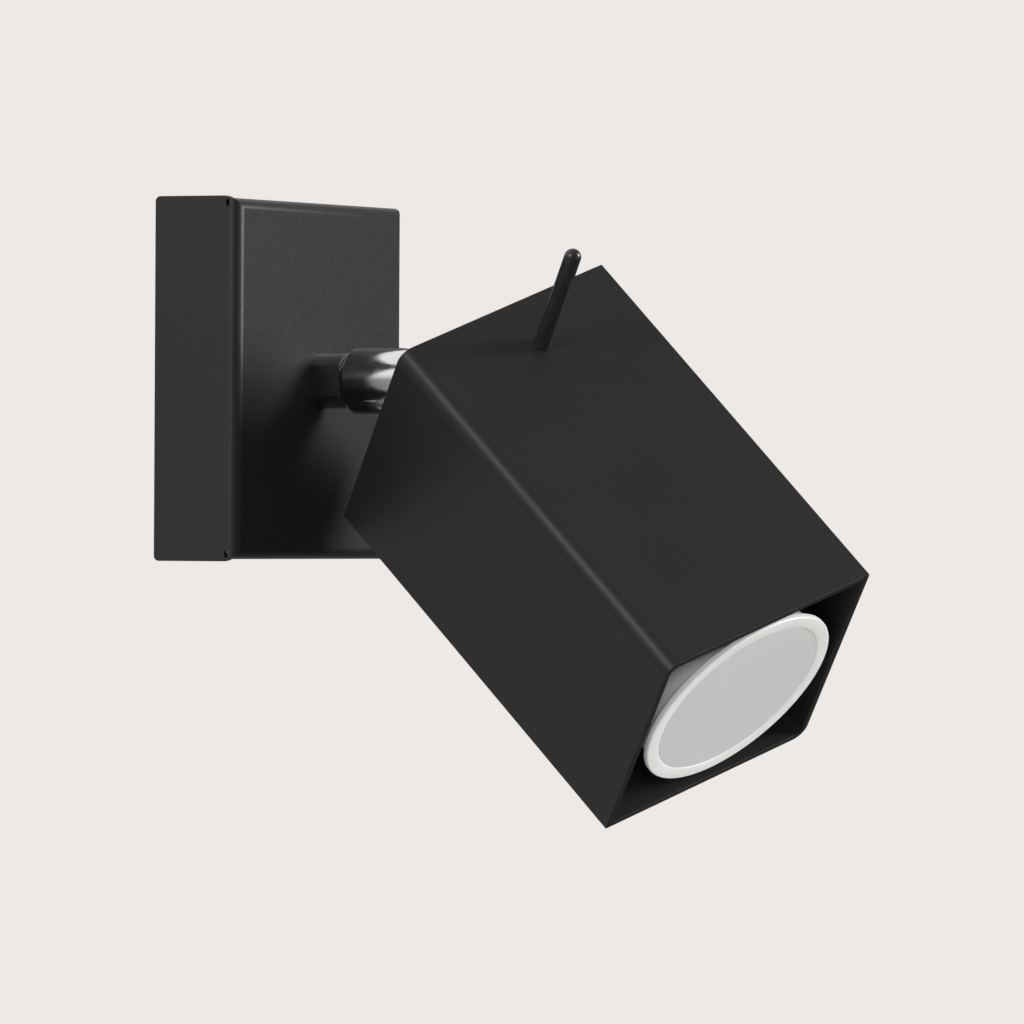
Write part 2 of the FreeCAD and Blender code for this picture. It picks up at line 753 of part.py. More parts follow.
def wire_way(name, sign_x, far_end):
    """Cuts in a lug: ring channel round the hinge boss and the bore that leads to it."""
    edge = sign_x * D.lap_gap / 2
    start = edge if sign_x > 0 else edge - D.wire_ring_depth
    channel = ring(name + "Channel", D.wire_ring_dia, D.hinge_boss_dia, D.wire_ring_depth,
                   (start, 0, 0), "X")
    near_end = D.hinge_boss_dia / 2 + 0.6
    bore = rod(name + "Bore", D.wire_bore, far_end - near_end, (0, 0, near_end))
    return [channel, bore]


def make_rear_half():
    shoulder = D.arm_reach - D.spigot_length - D.running_gap
    radius = D.arm_dia / 2
    barrel = turned("RearBarrel", [
        (0.0, D.lug_step), (radius, D.lug_step), (radius, shoulder - D.arm_chamfer),
        (radius - D.arm_chamfer, shoulder), (0.0, shoulder),
    ])
    lug = make_lug("RearLug", -1, D.tilt_down_angle, D.tilt_up_angle)
    whole = fuse("RearWhole", [barrel, lug])
    bearing = D.journal_length + 0.3
    tools = wire_way("Rear", -1, shoulder)
    tools.append(rod("RearBearing", D.journal_dia + D.running_gap * 2, bearing,
                     (0, 0, shoulder - bearing)))
    tools.append(rod("RearScrewHole", D.hinge_screw_dia + D.running_gap * 2, D.arm_dia,
                     (-D.arm_dia, 0, 0), "X"))
    tools.append(rod("RearScrewSink", D.hinge_bore_dia, D.arm_dia,
                     (-D.arm_dia - D.hinge_floor, 0, 0), "X"))
    angle = math.radians(grub_direction())
    way = V(math.cos(angle), math.sin(angle), 0)
    turn = FreeCAD.Rotation(Z_AXIS, way)
    tools.append(rod("RearGrubHole", D.grub_dia, D.arm_dia, (0, 0, D.arm_reach - D.grub_from_canopy),
                     rotation=turn))
    finish(cut("RearHalf", whole, tools), "knuckle_rear", ARM)
    make_grub(way)


def make_grub(way):
    outer = D.arm_dia / 2 - 0.15
    neck = D.journal_dia / 2 + D.running_gap
    tip = D.journal_dia / 2 - D.groove_depth + D.running_gap
    body = turned("GrubTurned", [
        (0.0, tip), (D.grub_tip_dia / 2, tip), (D.grub_tip_dia / 2, neck), (D.grub_dia / 2, neck),
        (D.grub_dia / 2, outer - 0.2), (D.grub_dia / 2 - 0.2, outer), (0.0, outer),
    ])
    socket = hexagon("GrubSocket", 1.5, 1.4, (0, 0, outer - 1.4))
    at = V(0, 0, (D.arm_reach - D.grub_from_canopy).number)
    frame = ARM * FreeCAD.Placement(at, FreeCAD.Rotation(Z_AXIS, way))
    finish(cut("Grub", body, [socket]), "swivel_grub_screw", frame)


def make_hinge_hardware():
    half_gap = D.lap_gap / 2
    friction = ring("HingeRing", D.lug_end * 2 - 0.4, D.wire_ring_dia + 0.4, D.lap_gap - D.running_gap,
                    (-half_gap, 0, 0), "X")
    finish(friction_cut(friction), "hinge_friction_ring", ARM)
    floor = -D.hinge_floor - D.running_gap
    spring = ring("HingeSpring", D.screw_head_dia, D.hinge_screw_dia, D.spring_washer,
                  (floor - D.spring_washer, 0, 0), "X")
    split = block("HingeSpringSplit", (D.spring_washer * 3, 0.8, D.screw_head_dia),
                  (floor - D.spring_washer / 2, 0, D.screw_head_dia / 2 + D.hinge_screw_dia / 4))
    finish(cut("HingeSpringWasher", spring, [split]), "hinge_spring_washer", TILT)
    seat = floor - D.spring_washer
    head = rod("HingeScrewHead", D.screw_head_dia, D.screw_head_height,
               (seat - D.screw_head_height, 0, 0), "X")
    shank = rod("HingeScrewShank", D.hinge_screw_dia, 5.6 - seat, (seat, 0, 0), "X")
    socket = hexagon("HingeScrewSocket", 2.5, 1.4, (seat - D.screw_head_height, 0, 0), "X")
    finish(cut("HingeScrew", fuse("HingeScrewWhole", [head, shank]), [socket]), "hinge_screw", TILT)


def friction_cut(item):
    """Keeps the friction ring inside the round nose of the lugs."""
    limit = rod("HingeRingLimit", D.lug_end * 2 - 0.4, D.lap_gap * 2, (-D.lap_gap, 0, 0), "X")
    return common("HingeFriction", [item, limit])


def make_front_half():
    radius = D.arm_dia / 2
    face = D.front_half_length
    barrel = turned("FrontBarrel", [
        (0.0, D.lug_step), (radius, D.lug_step), (radius, face), (D.thread_dia / 2, face),
        (D.thread_dia / 2, face + D.roll_thread_length), (0.0, face + D.roll_thread_length),
    ])
    lug = make_lug("FrontLug", 1, D.tilt_up_angle, D.tilt_down_angle)
    whole = fuse("FrontWhole", [barrel, lug])
    tools = wire_way("Front", 1, face + D.roll_thread_length)
    tools.append(rod("FrontScrewHole", D.hinge_screw_dia, 5.8, (0, 0, 0), "X"))
    tools.append(block("FrontKeyFlat", (D.thread_dia, D.thread_dia * 2, D.roll_thread_length),
                       (D.thread_dia * 0.93, 0,
                        face + D.back_sheet + D.running_gap * 2 + D.roll_thread_length / 2)))
    finish(cut("FrontHalf", whole, tools), "knuckle_front", TILT)


BACK_PLATE = D.front_half_length + D.running_gap
BACK_INNER = BACK_PLATE + D.back_sheet
KEY_FACE = D.thread_dia * 0.43


def make_roll_hardware():
    """Keyed stop washer and nut that hold the back plate on the knuckle."""
    start = BACK_INNER + D.running_gap
    disc = rod("StopDisc", D.washer_dia, D.washer_height, (0, 0, start))
    tab = rod("StopTab", D.stop_tab_reach * 2, D.washer_height, (0, 0, start),
              angle=D.stop_tab_angle,
              rotation=FreeCAD.Rotation(Z_AXIS, -D.stop_tab_angle.number / 2))
    hole = rod("StopHole", D.thread_dia, D.washer_height, (0, 0, start))
    half = block("StopHoleHalf", (D.thread_dia, D.thread_dia, D.washer_height),
                 (KEY_FACE - D.thread_dia / 2, 0, start + D.washer_height / 2))
    keyed = common("StopKeyedHole", [hole, half])
    finish(cut("StopWasher", fuse("StopWhole", [disc, tab]), [keyed]), "roll_stop_washer", TILT)
    seat = start + D.washer_height
    nut = hexagon("RollNutHex", D.nut_across, D.nut_height, (0, 0, seat))
    bore = rod("RollNutHole", D.thread_dia, D.nut_height, (0, 0, seat))
    finish(cut("RollNut", nut, [bore]), "roll_nut", TILT)


# --- square tube head --------------------------------------------------------

def at_corner(edge, x, y):
    """True for a straight edge along the tube at the given corner."""
    return all(abs(vertex.X - x) < 1e-4 and abs(vertex.Y - y) < 1e-4 for vertex in edge.Vertexes)


def make_shell(name, label, sign, tools):
    """One folded half of the tube; the two halves are welded along two edges."""
    half = D.tube_side / 2
    inner = half - D.tube_sheet
    points = [
        (-sign * half, sign * half), (-sign * half, -sign * half), (-sign * inner, -sign * half),
        (-sign * inner, sign * inner), (sign * inner, sign * inner), (sign * inner, sign * half),
    ]
    body = padded(name, points, D.tube_length)
    out = half.number
    within = inner.number
    round_edges(body, D.tube_bend, lambda edge: at_corner(edge, -sign * out, sign * out))
    round_edges(body, D.tube_bend - D.tube_sheet,
                lambda edge: at_corner(edge, -sign * within, sign * within))
    item = cut(name + "Cut", body, tools) if tools else body
    frame = HEAD * FreeCAD.Placement(V(0, 0, D.tube_back.number), FreeCAD.Rotation())
    finish(item, label, frame)


def make_tube():
    hole = rod("PinHole", D.pin_thread_dia + 0.3, D.tube_sheet * 3,
               (D.pin_side, D.tube_side / 2 - D.tube_sheet * 2, D.pin_from_back), "Y")
    make_shell("ShellUpper", "tube_shell_upper", 1, [hole])
    make_shell("ShellLower", "tube_shell_lower", -1, [])


def make_back_plate():
    half = D.tube_side / 2 - D.tube_sheet
    points = [(-half, -half), (half, -half), (half, half), (-half, half)]
    plate = padded("BackPlatePad", points, D.back_sheet)

    def at_any_corner(edge):
        first, last = edge.Vertexes[0].Point, edge.Vertexes[-1].Point
        return abs(first.x - last.x) < 1e-6 and abs(first.y - last.y) < 1e-6

    round_edges(plate, D.tube_bend - D.tube_sheet, at_any_corner)
    pip = rod("BackPip", D.stop_pip_dia, D.washer_height, (-D.stop_pip_radius, 0, D.back_sheet))
    tools = [rod("BackHole", D.thread_dia + D.running_gap * 2, D.back_sheet * 3,
                 (0, 0, -D.back_sheet))]
    tools.append(rod("BackEarthHole", D.canopy_screw_dia, D.back_sheet * 3,
                     (LUG_X, -LUG_Y, -D.back_sheet)))
    for side, sign_x in (("Left", -1), ("Right", 1)):
        middle = sign_x * (D.bracket_span / 2 + D.bracket_foot / 2)
        tools.append(rod("BackRivetHole" + side, D.rivet_dia, D.back_sheet * 3,
                         (middle, 0, -D.back_sheet)))
    frame = HEAD * FreeCAD.Placement(V(0, 0, BACK_PLATE.number), FreeCAD.Rotation())
    finish(cut("BackPlate", fuse("BackWhole", [plate, pip]), tools), "tube_back_plate", frame)


LUG_X = 1.3
LUG_Y = 21.5
LUG_RISE = 40.0
LUG_BARREL_FOOT = (LUG_X, -LUG_Y + 5.0, BACK_INNER + 1.3)
LUG_BARREL_TURN = FreeCAD.Rotation(X_AXIS, LUG_RISE - 90)


def make_aiming_pin():
    radius = D.pin_dia / 2
    body = turned("PinTurned", [
        (0.0, -D.pin_thread_length), (D.pin_thread_dia / 2, -D.pin_thread_length),
        (D.pin_thread_dia / 2, 0.0), (radius, 0.0), (radius, D.pin_length), (0.0, D.pin_length),
    ])
    tip = D.pin_length.number

    def at_tip(edge):
        return edge.Curve.TypeId == "Part::GeomCircle" and abs(edge.Vertexes[0].Z - tip) < 1e-4

    round_edges(body, radius - 0.02, at_tip)
    foot = V(D.pin_side.number, (D.tube_side / 2).number, (D.tube_back + D.pin_from_back).number)
    upright = FreeCAD.Rotation(Z_AXIS, D.pin_lean.number) * FreeCAD.Rotation(X_AXIS, -90)
    finish(body, "aiming_pin", HEAD * FreeCAD.Placement(foot, upright))
    nut = hexagon("PinNutHex", D.pin_nut_across, D.pin_nut_height, (0, 0, 0), "Z")
    hole = rod("PinNutHole", D.pin_thread_dia, D.pin_nut_height, (0, 0, 0), "Z")
    under = foot - V(0, (D.tube_sheet + D.pin_nut_height).number, 0)
    flat = FreeCAD.Rotation(X_AXIS, -90)
    finish(cut("PinNut", nut, [hole]), "aiming_pin_nut", HEAD * FreeCAD.Placement(under, flat))


# --- lampholder --------------------------------------------------------------

LAMP_FRONT = D.tube_back + D.tube_length - D.lamp_recess
LAMP_SEAT = LAMP_FRONT - D.lamp_length
HOLDER_TOP = LAMP_SEAT - 0.2
HOLDER_LOW = HOLDER_TOP - D.holder_height
BRIDGE_LOW = HOLDER_LOW - D.bracket_sheet
CAVITY_TOP = HOLDER_TOP - D.holder_face
CAVITY_LOW = CAVITY_TOP - D.cavity_depth


def make_bracket():
    """Hat-shaped strip between the back plate and the lampholder."""
    half = D.bracket_span / 2
    sheet = D.bracket_sheet
    foot = half + D.bracket_foot
    low = BACK_INNER
    top = HOLDER_LOW
    side_x = D.lamp_side
    points = [
        (-foot, low), (-half + sheet, low), (-half + sheet, top - sheet),
        (half - sheet, top - sheet), (half - sheet, low), (foot, low), (foot, low + sheet),
        (half, low + sheet), (half, top), (-half, top), (-half, low + sheet), (-foot, low + sheet),
    ]
    strip = padded("BracketPad", points, D.bracket_width, "XZ_Plane", both_ways=True)
    tools = []
    for side, sign_x in (("Left", -1), ("Right", 1)):
        at_x = sign_x * D.holder_screw_offset + side_x
        tools.append(rod("BracketScrewHole" + side, D.holder_screw_dia + 0.2, sheet * 3,
                         (at_x, D.lamp_rise, top - sheet * 2)))
        tools.append(rod("BracketLeadHole" + side, D.lead_dia + 0.6, sheet * 3,
                         (sign_x * D.lamp_pin_pitch / 2 + side_x, D.lamp_rise, top - sheet * 2)))
        tools.append(rod("BracketRivetHole" + side, D.rivet_dia, sheet * 3,
                         (sign_x * (half + D.bracket_foot / 2), 0, low - sheet)))
    finish(cut("Bracket", strip, tools), "lampholder_bracket", HEAD)


def make_rivets():
    rivets = []
    for side, sign_x in (("Left", -1), ("Right", 1)):
        middle = sign_x * (D.bracket_span / 2 + D.bracket_foot / 2)
        stack = D.back_sheet + D.bracket_sheet
        rivets.append(fuse("Rivet" + side, [
            rod("RivetShank" + side, D.rivet_dia, stack, (middle, 0, BACK_PLATE)),
            rod("RivetOuter" + side, D.rivet_head_dia, D.rivet_head_height,
                (middle, 0, BACK_PLATE - D.rivet_head_height)),
            rod("RivetInner" + side, D.rivet_head_dia - 1.0, D.rivet_head_height,
                (middle, 0, BACK_PLATE + stack)),
        ]))
    finish(group("Rivets", rivets), "bracket_rivets", HEAD)


def sector_ring(name, outer, inner, height, low, start_angle, sweep):
    """Part of a ring about the lamp axis."""
    turn = FreeCAD.Rotation(Z_AXIS, as_size(start_angle).number)
    whole = rod(name + "Outer", outer, height, (0, 0, low), angle=sweep, rotation=turn)
    core = rod(name + "Inner", inner, height, (0, 0, low))
    return cut(name, whole, [core])


def make_lampholder():
    """Ceramic twist-lock holder: two keyhole tracks under the face."""
    body = rod("HolderBody", D.holder_dia, D.holder_height, (0, 0, HOLDER_LOW))
    pitch = D.lamp_pin_pitch
    play = 0.3
    head_half = math.degrees(math.asin((D.lamp_pin_head.number / 2 + play) / (pitch.number / 2)))
    neck_half = math.degrees(math.asin((D.lamp_pin_neck.number / 2 + play) / (pitch.number / 2)))
    tools = []
    for side, base in (("Right", 0.0), ("Left", 180.0)):
        sign_x = 1 if side == "Right" else -1
        tools.append(sector_ring("HolderTrack" + side, pitch + D.lamp_pin_head + play * 2,
                                 pitch - D.lamp_pin_head - play * 2, D.cavity_depth, CAVITY_LOW,
                                 base - head_half, D.twist_angle + 2 * head_half))
        tools.append(sector_ring("HolderSlot" + side, pitch + D.lamp_pin_neck + play * 2,
                                 pitch - D.lamp_pin_neck - play * 2, D.holder_face, CAVITY_TOP,
                                 base - neck_half, D.twist_angle + 2 * neck_half))
        entry = math.radians(base + D.twist_angle.number)
        radius = pitch.number / 2
        tools.append(rod("HolderEntry" + side, D.lamp_pin_head + play * 1.6, D.holder_face,
                         (radius * math.cos(entry), radius * math.sin(entry), CAVITY_TOP)))
        tools.append(rod("HolderLeadHole" + side, D.lead_dia + 0.5, CAVITY_LOW - HOLDER_LOW,
                         (sign_x * pitch / 2, 0, HOLDER_LOW)))
        tools.append(rod("HolderScrewHole" + side, D.holder_screw_dia, 8.0,
                         (sign_x * D.holder_screw_offset, 0, HOLDER_LOW)))
    finish(cut("Lampholder", body, tools), "lampholder", LAMP)
    make_holder_screws()
    make_contacts()


def make_holder_screws():
    screws = []
    for side, sign_x in (("Left", -1), ("Right", 1)):
        at_x = sign_x * D.holder_screw_offset
        whole = fuse("HolderScrewWhole" + side, [
            rod("HolderScrewShank" + side, D.holder_screw_dia, 7.0 + D.bracket_sheet,
                (at_x, 0, BRIDGE_LOW)),
            rod("HolderScrewHead" + side, 5.5, 2.0, (at_x, 0, BRIDGE_LOW - 2.0)),
        ])
        slit = block("HolderScrewSlit" + side, (5.6, 0.8, 0.9), (at_x, 0, BRIDGE_LOW - 1.6))
        screws.append(cut("HolderScrew" + side, whole, [slit]))
    finish(group("HolderScrews", screws), "lampholder_screws", LAMP)


CONTACT_SHEET = 0.5


def make_contacts():
    """Sprung contact under each lamp pin, with the stem that holds the lead."""
    contacts = []
    for side, sign_x in (("Left", -1), ("Right", 1)):
        at_x = sign_x * D.lamp_pin_pitch / 2
        contacts.append(fuse("Contact" + side, [
            rod("ContactPad" + side, 4.2, CONTACT_SHEET, (at_x, 0, CAVITY_LOW)),
            rod("ContactStem" + side, D.lead_dia + 0.1, D.contact_stem,
                (at_x, 0, CAVITY_LOW - D.contact_stem)),
        ]))
    finish(group("Contacts", contacts), "lampholder_contacts", LAMP)


def make_head_earth():
    tongue = 0.8
    eye = rod("HeadLugEye", 8.0, tongue, (LUG_X, -LUG_Y, BACK_INNER))
    neck = block("HeadLugNeck", (3.0, 5.0, tongue), (LUG_X, -LUG_Y + 5.0, BACK_INNER + tongue / 2))
    foot = LUG_BARREL_FOOT
    barrel = rod("HeadLugBarrel", 3.0, 3.6, foot, rotation=LUG_BARREL_TURN)
    bore = rod("HeadLugBore", D.lead_dia, 3.6, foot, rotation=LUG_BARREL_TURN)
    hole = rod("HeadLugHole", D.canopy_screw_dia, tongue, (LUG_X, -LUG_Y, BACK_INNER))
    finish(cut("HeadLug", fuse("HeadLugWhole", [eye, neck, barrel]), [bore, hole]),
           "head_earth_lug", HEAD)
    head = rod("HeadEarthHead", D.screw_head_dia, D.screw_head_height,
               (LUG_X, -LUG_Y, BACK_INNER + tongue))
    shank = rod("HeadEarthShank", D.canopy_screw_dia, tongue + D.back_sheet,
                (LUG_X, -LUG_Y, BACK_PLATE))
    slit = block("HeadEarthSlit", (D.screw_head_dia, 1.0, 1.0),
                 (LUG_X, -LUG_Y, BACK_INNER + tongue + D.screw_head_height - 0.5))
    finish(cut("HeadEarthScrew", fuse("HeadEarthWhole", [head, shank]), [slit]),
           "head_earth_screw", HEAD)


def make_head_leads():
    start = D.front_half_length - 3.0
    above = D.front_half_length + D.roll_thread_length + 1.0
    inner = 1.15
    tip = CAVITY_LOW - D.contact_stem
    for label, sign_x in (("head_lead_live", -1), ("head_lead_neutral", 1)):
        end_x = sign_x * D.lamp_pin_pitch / 2 + D.lamp_side
        lead(label, [
            (sign_x * inner, 0.6, start), (sign_x * inner, 0.6, above),
            (end_x, D.lamp_rise, BRIDGE_LOW - 3.0), (end_x, D.lamp_rise, tip),
        ], HEAD, bend_share=0.3)
    rise = math.radians(LUG_RISE)
    foot_x, foot_y, foot_z = LUG_BARREL_FOOT
    lead("head_lead_earth", [
        (LUG_X - 1.2, -1.6, start), (LUG_X - 1.2, -1.6, above + 3.0),
        (foot_x, foot_y + 8.0 * math.cos(rise), foot_z + 8.0 * math.sin(rise)),
        (foot_x, foot_y + 0.5 * math.cos(rise), foot_z + 0.5 * math.sin(rise)),
    ], HEAD)


# --- lamp --------------------------------------------------------------------

def make_lamp():
    outer = D.lamp_dia / 2
    front = LAMP_FRONT
    seat = front - D.rim_height - D.rim_groove
    straight = seat - D.lamp_taper_length
    wall = D.lamp_wall
    body = D.lamp_body_dia / 2
    shoulder = body - D.lamp_taper_length * D.lamp_taper_share
    room = shoulder - wall
    neck = D.neck_dia / 2
    neck_top = LAMP_SEAT + D.lamp_cone_start
    neck_low = LAMP_SEAT + D.lamp_base_height
    inner = outer - D.rim_width
    skirt = inner + 0.3
    housing = turned("LampHousing", [
        (neck - wall, neck_low), (neck, neck_low), (neck, neck_top), (shoulder, straight),
        (body, seat), (skirt + 0.05, seat), (skirt + 0.05, seat - D.rim_skirt - 0.2),
        (room, straight + 2.2), (room, straight), (neck - wall, neck_top),
    ])
    finish(housing, "lamp_housing", LAMP)
    ledge = front - D.lens_recess - D.lens_sheet
    low = front - D.rim_height
    edge = D.rim_round
    rim = turned("LampRim", [
        (inner, front - D.lens_recess), (inner, ledge), (inner - 1.2, ledge),
        (inner - 1.2, seat - D.rim_skirt), (skirt, seat - D.rim_skirt), (skirt, seat),
        (body - 0.5, seat), (body - 0.5, low), (outer, low), (outer, front - edge),
        (outer - edge * 0.3, front - edge * 0.3), (outer - edge, front),
        (inner + D.rim_slope, front),
    ])
    finish(rim, "lamp_rim", LAMP)
    lens_edge = inner - D.lens_gap
    lens = turned("LampLens", [
        (0.0, ledge), (lens_edge, ledge), (lens_edge, front - D.lens_recess), (0.0, front - D.lens_recess),
    ])
    finish(lens, "lamp_lens", LAMP)
    make_led_board(room, straight)
    make_lamp_base(neck)


def make_led_board(room, straight):
    board = rod("LedDisc", (room - 0.2) * 2, 1.2, (0, 0, straight + 0.6))
    chips = []
    for index in range(6):
        angle = math.radians(60 * index)
        middle = (12.0 * math.cos(angle), 12.0 * math.sin(angle), straight + 1.8 + 0.4)
        chips.append(block("LedChip%d" % index, (3.0, 3.0, 0.8), middle))
    seat = ring("LedSeat", room * 2, room * 2 - 2.4, 0.6, (0, 0, straight))
    finish(fuse("LedBoard", [board, seat] + chips), "lamp_led_board", LAMP)


def make_lamp_base(neck):
    wall = D.lamp_wall
    low = LAMP_SEAT
    step = low + D.lamp_base_height
    base = turned("LampBaseTurned", [
        (0.0, low), (neck - 2.6, low), (neck - 2.0, low + 0.8), (neck - 0.2, step),
        (neck - wall - 0.05, step), (neck - wall - 0.05, step + 4.0), (0.0, step + 4.0),
    ])
    holes = []
    pins = []
    for side, sign_x in (("Left", -1), ("Right", 1)):
        at_x = sign_x * D.lamp_pin_pitch / 2
        head_low = low - D.lamp_pin_drop
        head_height = CAVITY_TOP - 0.2 - head_low
        holes.append(rod("LampPinHole" + side, D.lamp_pin_neck, 4.0, (at_x, 0, low)))
        pins.append(fuse("LampPin" + side, [
            rod("LampPinHead" + side, D.lamp_pin_head, head_height, (at_x, 0, head_low)),
            rod("LampPinNeck" + side, D.lamp_pin_neck, D.lamp_pin_drop + 4.0 - head_height,
                (at_x, 0, head_low + head_height)),
        ]))
    finish(cut("LampBase", base, holes), "lamp_base", LAMP)
    finish(group("LampPins", pins), "lamp_pins", LAMP)


# --- build, check and write --------------------------------------------------

def build():
    make_canopy()
    make_wall_plate()
    make_canopy_screws()
    make_terminal_block()
    make_wall_earth()
    make_base_leads()
    make_spigot()
    make_spigot_nut()
    make_rear_half()
    make_hinge_hardware()
    make_front_half()
    make_roll_hardware()
    make_tube()
    make_back_plate()
    make_aiming_pin()
    make_bracket()
    make_rivets()
    make_lampholder()
    make_head_earth()
    make_head_leads()
    make_lamp()


def check():
    doc.recompute()
    for item in doc.Objects:
        if "Invalid" in item.State or "Error" in item.State:
            raise ValueError("%s (%s) failed: %s" % (item.Name, item.Label, item.State))
    for item in NODES:
        shape = item.Shape
        if shape.isNull() or not shape.isValid() or not shape.Solids:
            raise ValueError("%s has no sound shape" % item.Label)
        print("%-24s %2d solid(s) %10.1f mm3" % (item.Label, len(shape.Solids), shape.Volume))


def write():
    os.makedirs("parts", exist_ok=True)
    for item in NODES:
        item.Shape.exportStep("parts/%s.step" % item.Label)


build()
check()
write()
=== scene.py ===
import math

import bmesh
import bpy
from mathutils import Matrix, Vector

# Looks of the pivoting wall spotlight. Metres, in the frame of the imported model:
# wall plane at y = 0, light out along -Y, +Z up.

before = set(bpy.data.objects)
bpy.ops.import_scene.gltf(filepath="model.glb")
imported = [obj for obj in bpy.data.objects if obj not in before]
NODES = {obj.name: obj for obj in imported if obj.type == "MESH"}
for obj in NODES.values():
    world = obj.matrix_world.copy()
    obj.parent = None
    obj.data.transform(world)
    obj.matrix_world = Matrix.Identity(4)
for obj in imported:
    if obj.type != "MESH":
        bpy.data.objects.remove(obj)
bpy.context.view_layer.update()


# --- procedural finishes -----------------------------------------------------

class Finish:
    """A node material on one Principled shader, patterned in object space."""

    def __init__(self, name, **sockets):
        self.material = bpy.data.materials.new(name)
        self.material.use_nodes = True
        tree = self.material.node_tree
        self.nodes = tree.nodes
        self.links = tree.links
        self.shader = self.nodes["Principled BSDF"]
        self.place = self.nodes.new("ShaderNodeTexCoord").outputs["Object"]
        self.normal = None
        for socket, value in sockets.items():
            self.shader.inputs[socket.replace("_", " ")].default_value = value

    def stretched(self, scale):
        mapping = self.nodes.new("ShaderNodeMapping")
        mapping.inputs["Scale"].default_value = scale
        self.links.new(self.place, mapping.inputs["Vector"])
        return mapping.outputs["Vector"]

    def noise(self, scale, detail=3.0, rough=0.5, vector=None):
        node = self.nodes.new("ShaderNodeTexNoise")
        node.inputs["Scale"].default_value = scale
        node.inputs["Detail"].default_value = detail
        node.inputs["Roughness"].default_value = rough
        self.links.new(vector or self.place, node.inputs["Vector"])
        return node.outputs["Fac"]

    def cells(self, scale):
        node = self.nodes.new("ShaderNodeTexVoronoi")
        node.inputs["Scale"].default_value = scale
        self.links.new(self.place, node.inputs["Vector"])
        return node.outputs["Color"]

    def stripes(self, scale, vector):
        node = self.nodes.new("ShaderNodeTexWave")
        node.wave_type = "BANDS"
        node.bands_direction = "DIAGONAL"
        node.wave_profile = "SAW"
        node.inputs["Scale"].default_value = scale
        node.inputs["Distortion"].default_value = 0.0
        self.links.new(vector, node.inputs["Vector"])
        return node.outputs["Fac"]

    def spread(self, value, low, high, start=0.3, end=0.7):
        node = self.nodes.new("ShaderNodeMapRange")
        node.inputs["From Min"].default_value = start
        node.inputs["From Max"].default_value = end
        node.inputs["To Min"].default_value = low
        node.inputs["To Max"].default_value = high
        self.links.new(value, node.inputs["Value"])
        return node.outputs["Result"]

    def colour(self, value, dark, light, start=0.3, end=0.7):
        node = self.nodes.new("ShaderNodeMix")
        node.data_type = "RGBA"
        self.links.new(self.spread(value, 0.0, 1.0, start, end), node.inputs["Factor"])
        node.inputs["A"].default_value = (*dark, 1.0)
        node.inputs["B"].default_value = (*light, 1.0)
        self.links.new(node.outputs["Result"], self.shader.inputs["Base Color"])

    def roughness(self, value, low, high):
        self.links.new(self.spread(value, low, high), self.shader.inputs["Roughness"])

    def bump(self, height, distance, strength=1.0):
        node = self.nodes.new("ShaderNodeBump")
        node.inputs["Distance"].default_value = distance
        node.inputs["Strength"].default_value = strength
        self.links.new(height, node.inputs["Height"])
        if self.normal is not None:
            self.links.new(self.normal, node.inputs["Normal"])
        self.normal = node.outputs["Normal"]
        self.links.new(self.normal, self.shader.inputs["Normal"])


def powder_coat():
    """Black powder coat: soft orange peel under a fine grain."""
    item = Finish("black_powder_coat_finish", Specular_IOR_Level=0.36)
    item.colour(item.noise(38.0), (0.0140, 0.0143, 0.0149), (0.0156, 0.0159, 0.0165))
    item.roughness(item.noise(700.0, 3.0), 0.42, 0.46)
    item.bump(item.noise(620.0, 1.0, 0.4), 0.00006, 0.38)
    item.bump(item.noise(2000.0, 2.0), 0.00001, 0.3)
    return item


def gloss_rod():
    """Black gloss of the turned aiming pin."""
    item = Finish("black_gloss_rod_finish", Specular_IOR_Level=0.5)
    item.colour(item.noise(90.0), (0.017, 0.017, 0.018), (0.021, 0.021, 0.022))
    item.roughness(item.noise(420.0, 3.0), 0.24, 0.34)
    item.bump(item.noise(300.0, 1.0), 0.00001, 0.10)
    return item


def chrome():
    """Dark chrome plate with a faint polishing grain."""
    item = Finish("black_chrome_plate_finish", Metallic=1.0)
    item.colour(item.noise(120.0), (0.66, 0.672, 0.69), (0.73, 0.74, 0.755))
    item.roughness(item.noise(600.0, 5.0, 0.6), 0.09, 0.15)
    grain = item.noise(900.0, 4.0, vector=item.stretched((0.15, 1.0, 0.15)))
    item.bump(grain, 0.000004, 0.6)
    return item


def zinc():
    """Zinc plate on sheet steel: patches of slightly different grey, rolled grain."""
    item = Finish("zinc_steel_finish", Metallic=1.0)
    item.colour(item.cells(240.0), (0.52, 0.53, 0.55), (0.66, 0.67, 0.69), 0.1, 0.9)
    item.roughness(item.noise(180.0, 6.0, 0.65), 0.26, 0.46)
    item.bump(item.noise(1400.0, 3.0, vector=item.stretched((0.12, 1.0, 1.0))), 0.00001, 0.5)
    return item


def screw_steel():
    """Bright steel of the screws and the spring washer."""
    item = Finish("screw_steel_finish", Metallic=1.0)
    item.colour(item.noise(300.0), (0.45, 0.45, 0.46), (0.60, 0.60, 0.61))
    item.roughness(item.noise(700.0, 4.0), 0.22, 0.38)
    item.bump(item.noise(1800.0, 2.0), 0.00001, 0.4)
    return item


def brass():
    """Brass of the terminals, contacts and earth points."""
    item = Finish("brass_contact_finish", Metallic=1.0)
    item.colour(item.noise(260.0, 5.0), (0.60, 0.42, 0.19), (0.78, 0.58, 0.29))
    item.roughness(item.noise(500.0, 4.0), 0.22, 0.38)
    item.bump(item.noise(1600.0, 2.0), 0.00001, 0.4)
    return item


